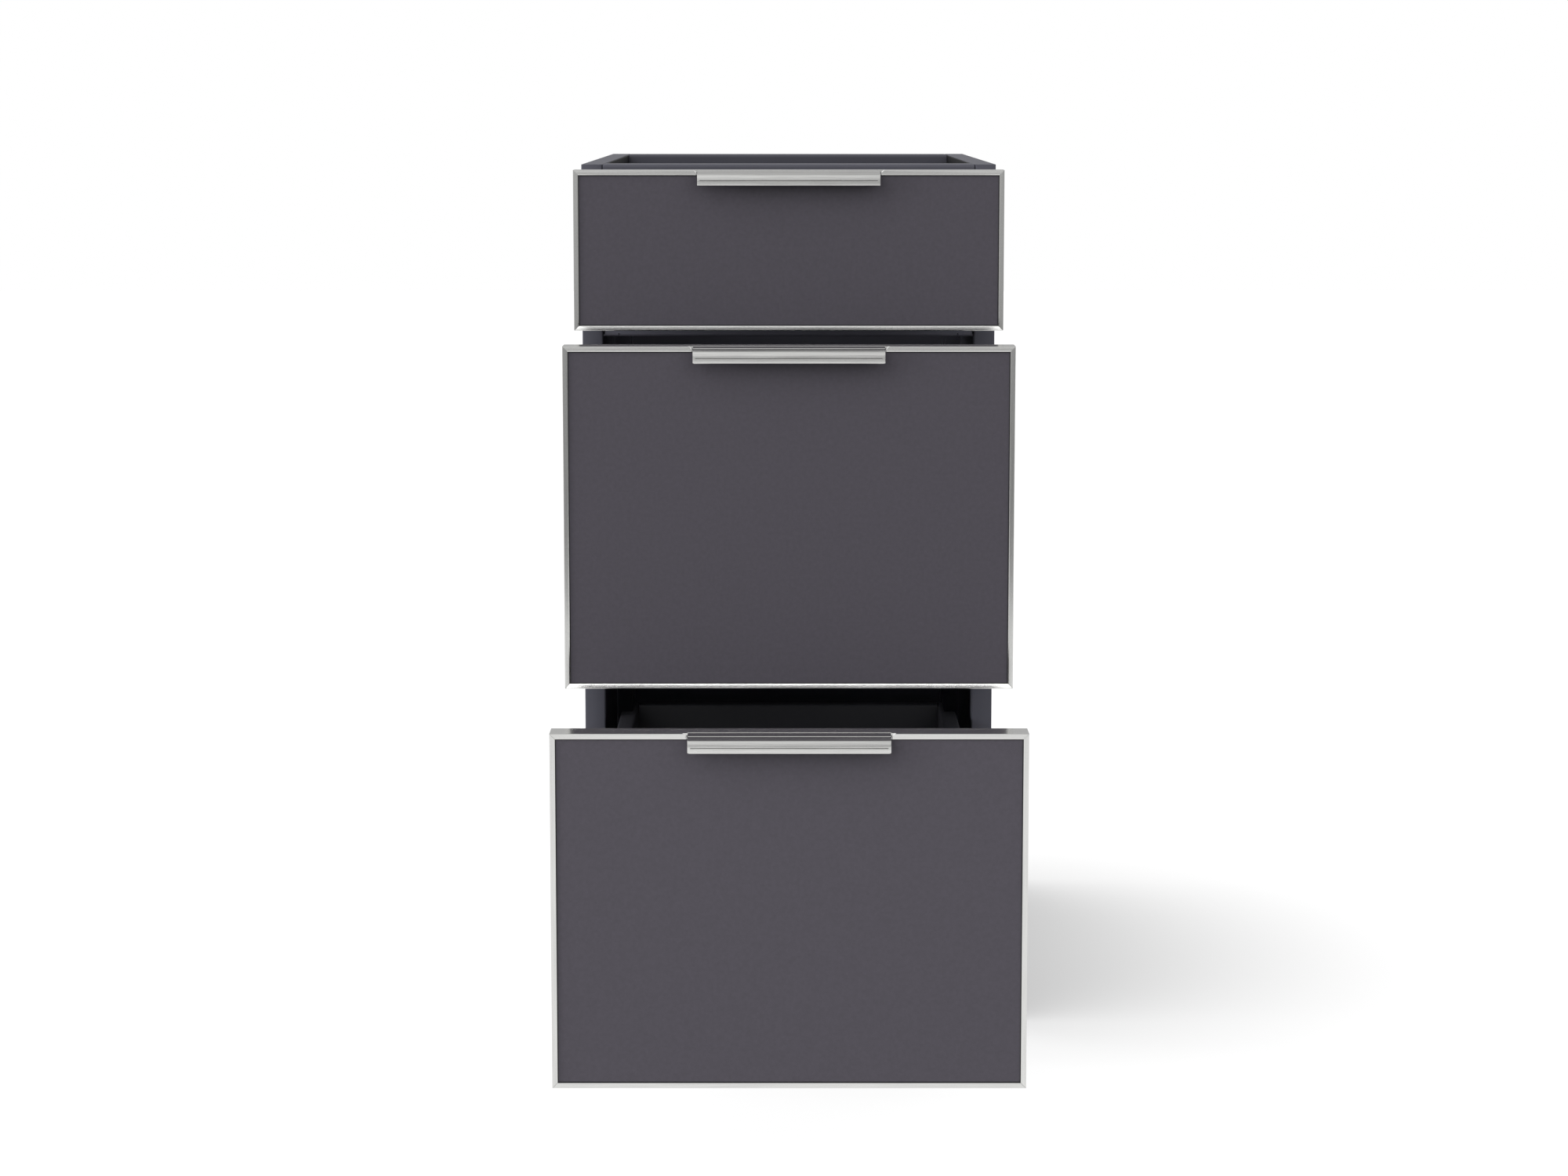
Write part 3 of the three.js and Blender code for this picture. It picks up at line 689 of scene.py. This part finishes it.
def screw_head(place, out, height=HEAD_HEIGHT):
    """A low round head with a hexagonal recess."""
    place, out = Vector(place), Vector(out)
    head = [wheel(place, out, HEAD_RADIUS * wide, height * up) for wide, up in HEAD_SHARES]
    recess = [wheel(place, out, HEAD_RADIUS * wide, height * up, sides=6) for wide, up in RECESS_SHARES]
    return head + recess


def shares(start, end, *places):
    return [start + (end - start) * place for place in places]


def reaches(low, high):
    """How far from the middle of the unit a box to one side of it starts and ends."""
    return sorted((abs(low.x), abs(high.x)))


def add_panel_screws():
    heads = []
    low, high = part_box("back_panel")
    columns = (low.x + PANEL_EDGE, high.x - PANEL_EDGE)
    for z in shares(low.z + PANEL_EDGE, high.z - PANEL_EDGE, 0.02, 0.265, 0.51, 0.755, 0.98):
        heads += [screw_head((x, high.y, z), (0, 1, 0)) for x in columns]
    low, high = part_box("plinth_panel")
    columns = (low.x + PANEL_EDGE, high.x - PANEL_EDGE)
    for z in shares(low.z, high.z, 0.2, 0.8):
        heads += [screw_head((x, low.y, z), (0, -1, 0)) for x in columns]
    finish_piece(solid("panel_screws", *heads), "carcass", "slide_zinc")


def add_foot_nuts():
    nuts = []
    for end in ("front", "rear"):
        for side, sign in SIDES:
            low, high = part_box(f"foot_{end}_{side}")
            place = Vector(((low.x + high.x) / 2, (low.y + high.y) / 2, 0))
            out = Vector((0, 0, 1))
            nuts.append([wheel(place, out, NUT_RADIUS, rise, sides=6) for rise in (NUT_BOTTOM, NUT_TOP)])
    finish_piece(solid("foot_nuts", *nuts), "carcass", "slide_zinc")


def add_rail_shade_strips():
    """Black strips on the inner faces of the side rails: painted shade, which makes the top opening dark
    inside.
    """
    strips = []
    for side, sign in SIDES:
        low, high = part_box(f"top_rail_{side}")
        base = reaches(low, high)[0]
        section = [
            (0, low.z + SHADE_STRIP_INSET),
            (0, high.z - SHADE_STRIP_INSET),
            (SHADE_STRIP_THICKNESS - SHADE_STRIP_EDGE, high.z - SHADE_STRIP_INSET),
            (SHADE_STRIP_THICKNESS, high.z - SHADE_STRIP_INSET - SHADE_STRIP_EDGE),
            (SHADE_STRIP_THICKNESS, low.z + SHADE_STRIP_INSET + SHADE_STRIP_EDGE),
            (SHADE_STRIP_THICKNESS - SHADE_STRIP_EDGE, low.z + SHADE_STRIP_INSET),
        ]
        stations = ((low.y, 0.5), (low.y + SHADE_STRIP_EDGE, 1), (high.y - SHADE_STRIP_EDGE, 1), (high.y, 0.5))
        rings = [[(sign * (base - out * share), y, z) for out, z in section] for y, share in stations]
        strips.append(rings)
    shade_strip = solid("rail_painted_shade", *strips)
    finish_piece(shade_strip, "carcass", "foot_plastic")
    shade_strip.data.materials[0] = RAIL_SHADE_BLACK


def add_slide_screws(level):
    """Screws of the outer members stay, and those of the inner ones and the box go with the drawer."""
    fixed = []
    moving = []
    for side, sign in SIDES:
        low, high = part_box(f"slide_outer_{level}_{side}")
        z = (low.z + high.z) / 2
        x = sign * (reaches(low, high)[1] - SLIDE_SHEET)
        for y in shares(low.y, high.y, 0.06, 0.5, 0.94):
            fixed.append(screw_head((x, y, z), (-sign, 0, 0), LOW_HEAD_HEIGHT))
        low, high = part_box(f"slide_inner_{level}_{side}")
        x = sign * (reaches(low, high)[0] + SLIDE_SHEET)
        for y in shares(low.y, high.y, 0.05, 0.2, 0.55, 0.9):
            moving.append(screw_head((x, y, z), (sign, 0, 0)))
        low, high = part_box(f"drawer_side_{level}_{side}")
        x = sign * reaches(low, high)[1]
        for rise in (low.z + PANEL_EDGE, high.z - PANEL_EDGE):
            moving.append(screw_head((x, low.y + PANEL_EDGE, rise), (sign, 0, 0)))
    finish_piece(solid(f"outer_screws_{level}", *fixed), "carcass", "slide_zinc")
    finish_piece(solid(f"inner_screws_{level}", *moving), f"drawer_{level}", "slide_zinc")


def add_slide_stops(level):
    """Black caps on the rear ends of the outer slide members, which stop the drawer when it is shut."""
    caps = []
    for side, sign in SIDES:
        low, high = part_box(f"slide_outer_{level}_{side}")
        outer = sign * reaches(low, high)[1]
        ends = sorted((outer, outer - sign * STOP_WIDTH))
        rings = []
        for behind, drawn_in in ((0, 0), (STOP_LENGTH - STOP_EDGE, 0), (STOP_LENGTH, STOP_EDGE)):
            left, right = ends[0] + drawn_in, ends[1] - drawn_in
            bottom, top = low.z + drawn_in, high.z - drawn_in
            corners = [
                (left + STOP_EDGE, bottom),
                (right - STOP_EDGE, bottom),
                (right, bottom + STOP_EDGE),
                (right, top - STOP_EDGE),
                (right - STOP_EDGE, top),
                (left + STOP_EDGE, top),
                (left, top - STOP_EDGE),
                (left, bottom + STOP_EDGE),
            ]
            rings.append([(x, high.y + behind, z) for x, z in corners])
        caps.append(rings)
    finish_piece(solid(f"slide_stops_{level}", *caps), "carcass", "foot_plastic")


def add_bumpers(level):
    """Soft domes behind the board's corners, which meet the posts when the drawer is shut."""
    low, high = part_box(f"front_panel_{level}")
    out = Vector((0, 1, 0))
    bends = arc((0, 0), 1, 0, BUMPER_BEND, steps=4)
    domes = []
    for x in (low.x + BUMPER_INSET, high.x - BUMPER_INSET):
        for z in (low.z + BUMPER_RISE, high.z - BUMPER_RISE):
            place = Vector((x, high.y, z))
            rings = [wheel(place, out, BUMPER_RADIUS * wide, BUMPER_HEIGHT * up) for wide, up in bends]
            domes.append(rings)
    finish_piece(solid(f"bumpers_{level}", *domes), f"drawer_{level}", "foot_plastic")


finish_frame_nodes()
for level in LEVELS:
    add_frame(level)
    add_shading_gasket(level)
    add_grip(level)
add_panel_screws()
add_foot_nuts()
add_rail_shade_strips()
for level in LEVELS:
    add_slide_screws(level)
    add_slide_stops(level)
    add_bumpers(level)


# Stage

CAMERA_PLACE = Vector((-0.00435, -3.1124, 0.9139))
CAMERA_PITCH = math.radians(6.833)
CAMERA_SENSOR = 36
CAMERA_LENS = 72.92
CAMERA_SHIFT = -0.07

FLOOR_CORNERS = [(-7.0, -3.2, 0), (7.0, -3.2, 0), (7.0, 12.0, 0), (-7.0, 12.0, 0)]
FLOOR_ROUGHNESS = 0.9
FLOOR_TINT = 0.8
FLOOR_TINT_BOUNCED = 0.07
FLOOR_GLOW = 0.64
FLOOR_GLOW_MIRRORED = 1.0
FLOOR_GLOW_SHARE = 0.75

# The world's stops are (place, level). Their places run from straight down at 0 to straight up at 1,
# and those of REAR_STOPS from the front to the back.
WHITE = (1.0, 1.0, 1.0, 1.0)
LIGHT_STOPS = [(0.0, 0.3), (0.49, 0.3), (0.5, 0.5), (0.75, 0.52), (0.933, 0.7), (1.0, 1.2)]
WALL_STOPS = [
    (0.409, 1.0), (0.412, 0.6), (0.419, 0.25), (0.44, 0.19), (0.465, 0.43), (0.5, 0.48),
    (0.55, 0.75), (0.62, 0.88), (0.75, 0.86), (0.9, 0.7), (1.0, 0.55),
]
REAR_STOPS = [(0.5, 0.0), (0.65, 1.0)]
REAR_LEVEL = 0.54
LEFT_GAIN = 0.25


def add_camera():
    camera = bpy.data.objects.new("camera", bpy.data.cameras.new("camera"))
    camera.data.lens = CAMERA_LENS
    camera.data.sensor_width = CAMERA_SENSOR
    camera.data.shift_y = CAMERA_SHIFT
    camera.location = CAMERA_PLACE
    camera.rotation_euler = (math.pi / 2 - CAMERA_PITCH, 0, 0)
    bpy.context.scene.collection.objects.link(camera)
    bpy.context.scene.camera = camera


def add_floor():
    """A white floor that keeps the shadow of the carcass. It ends in front, where the studio is grey."""
    mesh = bpy.data.meshes.new("floor")
    mesh.from_pydata(FLOOR_CORNERS, [], [(0, 1, 2, 3)])
    floor = bpy.data.objects.new("floor", mesh)
    bpy.context.scene.collection.objects.link(floor)
    finish = Finish("floor")
    path = finish.add("ShaderNodeLightPath").outputs
    finish.give("Roughness", FLOOR_ROUGHNESS)
    finish.give("Specular IOR Level", 0.0)
    finish.give("Base Color", finish.blend(path["Is Diffuse Ray"], FLOOR_TINT, FLOOR_TINT_BOUNCED))
    glow = finish.add("ShaderNodeEmission")
    glow_strength = finish.blend(path["Is Camera Ray"], FLOOR_GLOW_MIRRORED, FLOOR_GLOW)
    finish.put(glow_strength, glow.inputs["Strength"])
    mirrored = finish.math("MAXIMUM", path["Is Glossy Ray"], path["Is Transmission Ray"])
    glow_share = finish.math("MULTIPLY_ADD", path["Is Camera Ray"], FLOOR_GLOW_SHARE, mirrored)
    surface = finish.add("ShaderNodeMixShader")
    finish.put(glow_share, surface.inputs["Fac"])
    finish.put(finish.shader.outputs[0], surface.inputs[1])
    finish.put(glow.outputs[0], surface.inputs[2])
    finish.put(surface.outputs[0], finish.tree.nodes["Material Output"].inputs["Surface"])
    mesh.materials.append(finish.material)
    return floor


def add_world():
    """White to the camera, softer as light on the object, and a grey wall in front for metal to mirror."""
    world = bpy.data.worlds.new("studio")
    bpy.context.scene.world = world
    world.use_nodes = True
    tree = Tree(world.node_tree)
    axes = tree.add("ShaderNodeSeparateXYZ")
    tree.put(tree.add("ShaderNodeTexCoord").outputs["Generated"], axes.inputs[0])
    height = tree.math("MULTIPLY_ADD", axes.outputs["Z"], 0.5, 0.5)
    rearwards = tree.math("MULTIPLY_ADD", axes.outputs["Y"], 0.5, 0.5)
    from_left = tree.math("MULTIPLY_ADD", axes.outputs["X"], -LEFT_GAIN, 1.0)
    light = tree.levels(height, LIGHT_STOPS)
    wall = tree.levels(height, WALL_STOPS)
    behind = tree.levels(rearwards, REAR_STOPS)
    mirrored = tree.math("MULTIPLY", tree.blend(behind, wall, REAR_LEVEL), from_left)
    path = tree.add("ShaderNodeLightPath").outputs
    level = tree.blend(path["Is Glossy Ray"], light, mirrored)
    open_view = tree.math("MAXIMUM", path["Is Camera Ray"], path["Is Transmission Ray"])
    background = world.node_tree.nodes["Background"]
    tree.put(WHITE, background.inputs["Color"])
    tree.put(tree.blend(open_view, level, 1.0), background.inputs["Strength"])


def add_sun(name, towards, strength, angle, mirrored=False):
    """A lamp in this direction, as wide as an angle in degrees, which metal may mirror."""
    lamp = bpy.data.lights.new(name, "SUN")
    lamp.energy = strength
    lamp.angle = math.radians(angle)
    sun = bpy.data.objects.new(name, lamp)
    sun.rotation_mode = "QUATERNION"
    sun.rotation_quaternion = Vector(towards).to_track_quat("Z", "Y")
    sun.visible_glossy = mirrored
    bpy.context.scene.collection.objects.link(sun)
    return sun


def collection_of(name, pieces):
    collection = bpy.data.collections.new(name)
    for piece in pieces:
        collection.objects.link(piece)
    return collection


def light_only(sun, *pieces):
    sun.light_linking.receiver_collection = collection_of(f"{sun.name}_lit", pieces)


def light_all_but(sun, *pieces):
    unlit = collection_of(f"{sun.name}_unlit", pieces)
    sun.light_linking.receiver_collection = unlit
    for entry in unlit.collection_objects:
        entry.light_linking.link_state = "EXCLUDE"


def shade_only_by(sun, *pieces):
    sun.light_linking.blocker_collection = collection_of(f"{sun.name}_shade", pieces)


def add_lights(floor):
    """Soft lamps for the whole object, lamps for single pieces of it, and one for the floor's shadow."""
    nodes = frame["nodes"]
    front_rail = nodes["top_rail_front"]
    rear_rail = nodes["top_rail_rear"]
    for name, towards, strength, angle, unlit in (
        ("key", (-0.62, -0.43, 0.75), 1.25, 50, [floor]),
        ("side", (-1.0, -0.3, 0.2), 1.5, 24, [floor, rear_rail, front_rail]),
        ("fill", (1.0, -1.0, 0.8), 0.85, 60, [floor, rear_rail]),
        ("front", (-0.2, -1.0, 0.14), 0.38, 40, [floor, rear_rail, front_rail]),
    ):
        light_all_but(add_sun(name, towards, strength, angle), *unlit)
    low = add_sun("low", (-0.4, -1.0, 0.1), 0.65, 50)
    light_only(low, nodes["front_panel_lower"])
    overhead = add_sun("overhead", (-0.33, 0.02, 1.0), 8.3, 39, mirrored=True)
    light_only(overhead, floor)
    shade_only_by(overhead, *[node for node in nodes.values() if node["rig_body"] == "carcass"])
    gap = add_sun("gap", (-0.4, -1.0, 0.1), 0.85, 50)
    light_only(gap, nodes["cross_rail_upper"])
    shade_only_by(gap, floor)
    strips = (("upper", "bottom", 0.38), ("middle", "bottom", 2.1), ("lower", "top", 0.1))
    for level, edge, strength in strips:
        strip = add_sun(f"strip_{level}", (0.0, -1.0, 0.1), strength, 30, mirrored=True)
        light_only(strip, bpy.data.objects[f"frame_bar_{level}_{edge}"])


add_camera()
add_world()
add_lights(add_floor())
bpy.context.scene.view_settings.view_transform = "Standard"
